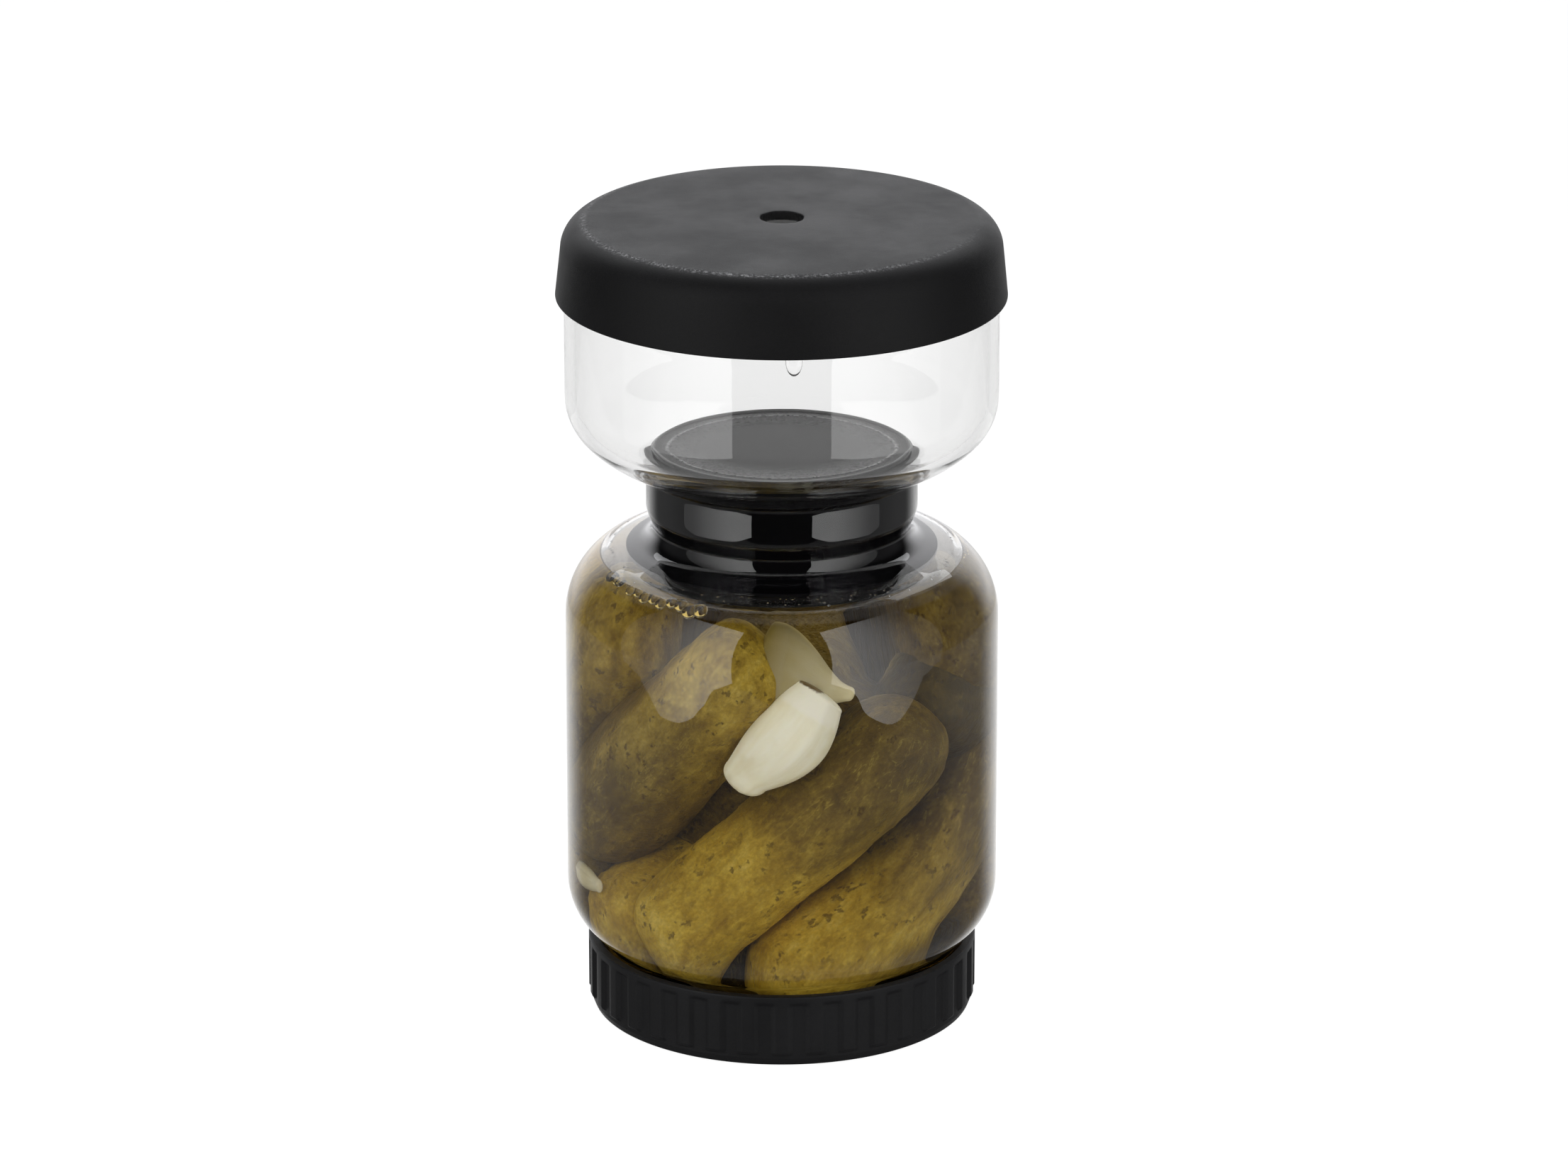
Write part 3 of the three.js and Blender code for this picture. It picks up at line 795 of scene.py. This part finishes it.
def clove(index, spec):
    """One flattened clove with a ridge along it, and the values its material reads."""
    start, end, radii, (bow, belly, skew), stain = spec
    at, length, along, radius, turn, _ = body(start, end, radii, bow, belly, CLOVE_GRID)
    local = np.stack([along, radius * np.cos(turn), radius * np.sin(turn)], -1)
    share = np.clip(along / length, 0, 1)
    radius = radius + 0.22 * lumps(local, 1 / 6, index + 200) * (radius > 1.5)
    ridge = RIDGE["height"] * np.exp(-(away_from(turn, RIDGE["at"]) / RIDGE["width"]) ** 2) * (radius > 2)
    across = (radius + ridge) * np.cos(turn) + skew * np.sin(np.pi * share)
    points = laid(at, length, along, across, (radius + ridge) * np.sin(turn) * CLOVE_FLAT)
    from_tip = along + radii[0] * CLOVE_GRID["taper"][0]
    root = np.clip(1 - from_tip / ROOT, 0, 1) * (0.45 + 0.55 * np.cos(turn))
    cap = np.clip((CAP["reach"] + CAP["slant"] * np.cos(turn) - along) / CAP["edge"], 0, 1)
    values = {
        "local": skin_place(local, index * 37.0),
        "root": np.r_[root.ravel(), 0.5, 0],
        "cap": np.r_[cap.ravel(), 1, 0],
        # Painted shade, from the root end's value to the tip's
        "stain": np.r_[(stain[0] + (stain[1] - stain[0]) * share).ravel(), stain],
    }
    return (points, *surface(*along.shape, False)), values


def make_heap(name, specs, shape, material):
    """All pickles of one kind as one piece."""
    parts, values = zip(*[shape(i, spec) for i, spec in enumerate(specs)])
    merged = {key: np.concatenate([v[key] for v in values]) for key in values[0]}
    build(name, joined(parts), material, "pickles", merged)


def make_core(material):
    """What fills the middle, behind the pickles that show."""
    soft = CORE["round"]
    radius, bottom, top = CORE["radius"], CORE["bottom"], CORE["top"]
    line = [
        (0, bottom), (radius - soft, bottom), (radius, bottom + soft),
        (radius, top - soft), (radius - soft, top), (0, top),
    ]
    points, *faces = turned(profile_of(line, 3.0, turn=6), SIDES["core"])
    outward = np.c_[points[:, :2], np.zeros(len(points))]
    outward /= np.maximum(np.linalg.norm(outward, axis=1), 1e-6)[:, None]
    points = points + outward * lumps(points, 1 / 14, 77)[:, None] * CORE["uneven"]
    values = {"local": points.copy(), "ripe": np.zeros(len(points)), "wart": np.zeros(len(points))}
    build("middle_gherkins", (points, *faces), material, "pickles", values)


# The cover, the stopper and the lid
def make_cover(material):
    """The cover with a ragged hole and a slightly wavy skirt, and rings of dust on its top."""
    grip = RIM["radius"] + COVER["beside"]
    skirt_inside = COVER["radius"] - COVER["lip"]
    ceiling = RIM["top"] + COVER["above"]
    top = COVER["top"]
    edge = COVER["radius"] - COVER["taper"]
    crown = top + COVER["dome"]
    line = [
        (COVER["hole"], crown), (COVER["hole"], crown - COVER["thick"]),
        (grip - 4, ceiling), (grip, ceiling), (grip, RIM["from"]),
        (skirt_inside, RIM["from"] - COVER["step"]), (skirt_inside, COVER["bottom"]),
        (COVER["radius"], COVER["bottom"]),
        *arc(edge - COVER["corner"], top - COVER["corner"], COVER["corner"], 0, 88, 16),
        *[(radius, top + COVER["dome"] * share) for radius, share in CROWN],
    ]
    profile = profile_of(line, 0.32, closed=True)

    def ragged(angles, radii, heights):
        """The radii with nicks round the hole and a wavy skirt."""
        points = np.stack([np.cos(angles) * 3, np.sin(angles) * 3, np.zeros_like(angles)], -1)
        nicks = sum(height * lumps(points, fineness, seed) for height, fineness, seed in NICKS)
        near = np.exp(-((radii - COVER["hole"]) / 0.7) ** 2)
        sag = sum(height * np.sin(count * angles + start) for height, count, start in WAVES)
        skirt = np.clip((COVER["bottom"] + 8 - heights) / 8, 0, 1) * (radii > 40)
        return radii + near * nicks + skirt * sag

    points, *faces = turned(profile, SIDES["cover"], ragged)
    reach = np.hypot(points[:, 0], points[:, 1])
    angle = np.arctan2(points[:, 0], -points[:, 1])
    ring = sum(dust * np.exp(-((reach - radius) / 0.6) ** 2) for radius, dust in DUST_RINGS)
    around = np.clip(0.5 + 0.65 * np.cos(angle + 0.75), 0.12, 1)
    worn = np.where(points[:, 2] > top - 2.5, np.clip(ring * around, 0, 1), 0)
    build("soft_cover", (points, *faces), material, "cover", {"worn": worn})


def make_stopper(material):
    """The stopper in one piece, which reaches a little into the glass. It marks where it lies free of it, and
    the two rings on its disc that carry painted highlights.
    """
    touch = STOPPER["into_glass"]
    collar = WAIST["radius"] + COLLAR["radius"]
    body_radius = WAIST["bulge"] - WALL + touch
    disc_top = SEAT + STOPPER["thick"]
    flange_top = COLLAR["height"] - COLLAR["radius"] - WALL + touch
    outer_ring, inner_ring = STOPPER["rings"]
    line = [
        (0, STOPPER["bottom"]), (STOPPER["skirt"], STOPPER["bottom"]), (STOPPER["skirt"], flange_top - 1.4),
        (STOPPER["flange"], flange_top - 1.2), (STOPPER["flange"], flange_top),
        *arc(collar, COLLAR["height"], COLLAR["radius"] + WALL - touch, -90, -180, 12),
        (body_radius, WAIST["from"]), (body_radius, SEAT - touch), (STOPPER["disc"], SEAT - touch),
        (STOPPER["disc"], disc_top), (outer_ring + 0.35, disc_top + 0.05),
        (outer_ring + 0.12, disc_top + 0.4), (outer_ring - 0.12, disc_top + 0.4),
        (outer_ring - 0.35, disc_top - 0.15),
        (inner_ring + 0.4, disc_top - 0.2), (inner_ring, disc_top - 0.02), (inner_ring - 0.4, disc_top - 0.2),
        (0, disc_top - 0.2),
    ]
    points, *faces = turned(profile_of(line, 0.14, turn=5), SIDES["stopper"])
    reach = np.hypot(points[:, 0], points[:, 1])
    on_top = points[:, 2] > SEAT + 0.3
    below = (points[:, 2] < flange_top - 0.4) & (reach > 5)
    # The rings that carry the painted highlights: a line round the lip near the disc's rim and a dotted inner
    # ring
    outer = np.exp(-((reach - outer_ring) / 0.35) ** 2) * on_top * 0.7
    inner = np.exp(-((reach - inner_ring) / 0.4) ** 2) * on_top
    values = {"free": (on_top | below).astype(float), "ring": inner, "edge": outer}
    build("stopper", (points, *faces), material, "plug", values)


def make_lid(material):
    """The lid with ribs up its side, under a plain rim."""
    radius, rim, height = LID["radius"], LID["rim"], LID["height"]
    rim_bottom = height - LID["rim_height"]
    line = [
        (0, 0.0), (radius - LID["corner"], 0.0), (radius - 0.6, 0.6), (radius, LID["corner"]),
        (radius, RIBS["bottom"] - 0.3), (radius, RIBS["bottom"] + 0.5), (radius, rim_bottom - 0.6),
        (rim, rim_bottom), (rim, height), (LID["inside"], height), (LID["inside"], LID["floor"]),
        (0, LID["floor"]),
    ]
    profile = profile_of(line, 0.28, turn=4)
    rows = [(radius, z) for z in np.arange(RIBS["bottom"] - 0.6, RIBS["bottom"] + 1.3, 0.2)]
    above = int(np.argmax(profile[:, 1] > rows[0][1]))
    profile = np.concatenate([profile[:above], rows, profile[above:]])

    def ribs(angles, radii, heights):
        """The radii with a rib in each pitch."""
        pitch = 2 * np.pi / RIBS["count"]
        phase = np.abs((angles / pitch + 0.5) % 1 - 0.5) * 2
        rib = np.clip((RIBS["share"] + RIBS["slope"] - phase) / (2 * RIBS["slope"]), 0, 1)
        rib = rib * rib * (3 - 2 * rib)
        rise = np.clip((heights - RIBS["bottom"] + 0.2) / 0.7, 0, 1)
        wall = (np.abs(radii - radius) < 0.75) & (heights > 2) & (heights < height - 0.8)
        return np.where(wall, np.maximum(radii, radius + (rim - radius) * rib * rise), radii)

    points, *faces = turned(profile, RIBS["count"] * SIDES["rib"], ribs)
    build("screw_lid", (points, *faces), material, "lid", {"worn": np.zeros(len(points))})


# Bubbles and drops
def wall_frame(angle, height):
    """A point on the jar's inner wall and the axes round, up and out of it."""
    radius = float(room(height))
    outwards = np.array([math.sin(angle), -math.cos(angle), 0])
    if height > SHOULDER["height"]:
        tilt = math.asin(min(1, (height - SHOULDER["height"]) / (SHOULDER["radius"] - WALL)))
        outwards = outwards * math.cos(tilt) + np.array([0, 0, math.sin(tilt)])
    sideways = np.array([math.cos(angle), math.sin(angle), 0])
    point = np.array([radius * math.sin(angle), -radius * math.cos(angle), height])
    return point, sideways, np.cross(outwards, sideways), outwards


def make_bubbles(material):
    """Beads of air that hang together at the brine's edge."""
    beads = []
    draws = np.random.default_rng(SEED + 300)
    start, step, count = BEADS["row"]
    row = [(start + step * k, 1.0 + 0.08 * k + 0.25 * draws.random()) for k in range(count)]
    centre, spread, count = BEADS["cluster"]
    cluster = [(centre + draws.uniform(-spread, spread), 0.8 + 0.6 * draws.random()) for _ in range(count)]
    start, step, count = BEADS["right"]
    right = [(start + step * k, 0.6 + 0.2 * draws.random()) for k in range(count)]
    for degrees, size in row + cluster + right:
        height = LEVEL + 0.5 + draws.uniform(-0.2, 0.6)
        point, *_, outwards = wall_frame(math.radians(degrees), height)
        beads.append(ellipsoid(point - outwards * (size + 0.05), (size,) * 3, 18, 11))
    build("bubbles", joined(beads), material).visible_shadow = False


def make_drops(material):
    """A running drop on the bowl's front and fine condensation inside the shoulder."""
    outwards = np.array(RUNNING_DROP["towards"])
    outwards /= np.linalg.norm(outwards)
    axes = (np.cross([0, 0, 1], outwards), [0, 0, 1], outwards)
    centre = outwards * (BOWL_RADIUS + 0.05) + [0, 0, RUNNING_DROP["height"]]
    parts = [ellipsoid(centre, RUNNING_DROP["radii"], 28, 18, axes)]
    draws = np.random.default_rng(SEED + 400)
    for _ in range(DROPS["count"]):
        height = draws.uniform(*DROPS["height"])
        point, *axes = wall_frame(draws.uniform(-math.pi, math.pi), height)
        size = draws.uniform(*DROPS["size"])
        parts.append(ellipsoid(point, (size, size, size * 0.5), 10, 6, axes))
    build("water_drops", joined(parts), material).visible_shadow = False


# The stage
def area_light(name, at, aim, size, power, colour=(1, 1, 1), seen=True):
    """A lit rectangle. seen says whether reflections show it."""
    data = bpy.data.lights.new(name, "AREA")
    data.shape = "RECTANGLE"
    data.size, data.size_y = size
    data.energy = power
    data.color = colour
    light = bpy.data.objects.new(name, data)
    light.location = at
    light.rotation_euler = (Vector(aim) - Vector(at)).to_track_quat("-Z", "Y").to_euler()
    light.visible_camera = False
    light.visible_transmission = False
    light.visible_glossy = seen
    bpy.context.collection.objects.link(light)
    return light


def power_of(glow, size):
    """The power at which a rectangle glows this much."""
    return glow * math.pi * size[0] * size[1]


def fade_outwards(light):
    """A softbox is brightest along its inner edge and fades to its outer one."""
    light.data.use_nodes = True
    tree = light.data.node_tree
    place = node(tree, "NewGeometry").outputs["Position"]
    across = math_of(tree, "ABSOLUTE", node(tree, "SeparateXYZ", inputs={0: place}).outputs[0])
    strength = graded(tree, across, SOFTBOX["bright"], SOFTBOX["dim"], 1.0, SOFTBOX["least"])
    tree.links.new(strength, tree.nodes["Emission"].inputs["Strength"])


def make_stage():
    """The floor, which reflections don't show."""
    mesh = bpy.data.meshes.new("floor")
    half = FLOOR["half"]
    corners = [(-half, -half, 0), (half, -half, 0), (half, half, 0), (-half, half, 0)]
    mesh.from_pydata(corners, [], [(0, 1, 2, 3)])
    mesh.materials.append(floor_material())
    floor = bpy.data.objects.new("floor", mesh)
    floor.visible_glossy = False
    bpy.context.collection.objects.link(floor)


def make_world():
    """White for the eye. In reflections it is dim in front of the jar and bright behind it."""
    world = bpy.data.worlds.new("studio")
    bpy.context.scene.world = world
    world.use_nodes = True
    tree = world.node_tree
    tree.nodes.clear()
    path = node(tree, "LightPath").outputs
    direction = node(tree, "TexCoord").outputs["Generated"]
    across, away, up = node(tree, "SeparateXYZ", inputs={0: direction}).outputs
    back = graded(tree, away, 0.6, 0.9)
    sides = graded(tree, math_of(tree, "ABSOLUTE", across), 0.72, 0.95)
    front = mixed(tree, sides, ROOM["front"], ROOM["side"])
    behind = mixed(tree, graded(tree, up, -0.25, -0.05), ROOM["low"], ROOM["high"])
    studio = mixed(tree, back, front, behind)
    colour = mixed(tree, to_the_eye(tree, path), studio, WHITE)
    shade = node(tree, "Background", inputs={"Color": colour, "Strength": 1.0})
    node(tree, "OutputWorld", inputs={"Surface": shade.outputs[0]})


def make_camera():
    data = bpy.data.cameras.new("camera")
    data.sensor_width = CAMERA["sensor"]
    data.lens = CAMERA["lens"]
    camera = bpy.data.objects.new("camera", data)
    camera.location = CAMERA["at"]
    aim = Vector(CAMERA["aim"]) - camera.location
    camera.rotation_euler = aim.to_track_quat("-Z", "Y").to_euler()
    bpy.context.collection.objects.link(camera)
    bpy.context.scene.camera = camera


def make_lights():
    """Two softboxes, a panel behind, two lights that only light, and the white table the jar stands on."""
    width = 2 * SOFTBOX["away"] * math.tan(math.radians(SOFTBOX["half"]))
    size = (width, SOFTBOX["top"] - SOFTBOX["bottom"])
    middle = (SOFTBOX["top"] + SOFTBOX["bottom"]) / 2
    for side in (-1, 1):
        turn = math.radians(SOFTBOX["turn"] * side)
        at = (SOFTBOX["away"] * math.sin(turn), -SOFTBOX["away"] * math.cos(turn), middle)
        power = power_of(SOFTBOX["glow"], size)
        fade_outwards(area_light("softbox", at, (0, 0, middle), size, power))
    area_light("back_panel", power=power_of(PANEL_GLOW, BACK_PANEL["size"]), **BACK_PANEL)
    area_light("fill_light", **FILL_LIGHT)
    area_light("top_light", **TOP_LIGHT)
    size = (2 * TABLE["half"], TABLE["back"] - TABLE["front"])
    at = (0, (TABLE["back"] + TABLE["front"]) / 2, TABLE["height"])
    area_light("white_table", at, (at[0], at[1], 1), size, power_of(TABLE["glow"], size))


bpy.context.scene.view_settings.view_transform = "Standard"
make_camera()
make_stage()
make_world()
make_lights()

skin = gherkin_material()
make_glass(clear_glass())
make_brine(brine_material())
make_heap("gherkins", GHERKINS, gherkin, skin)
make_heap("garlic_cloves", CLOVES, clove, clove_material())
make_core(skin)
make_cover(rubber_material("cover silicone", (0.0025, 0.0025, 0.0027), (0.30, 0.30, 0.31), 0.52))
make_stopper(stopper_material())
make_lid(rubber_material("lid plastic", (0.0058, 0.0058, 0.0062), (0.1, 0.1, 0.1), 0.48))
water = water_material()
make_bubbles(water)
make_drops(water)
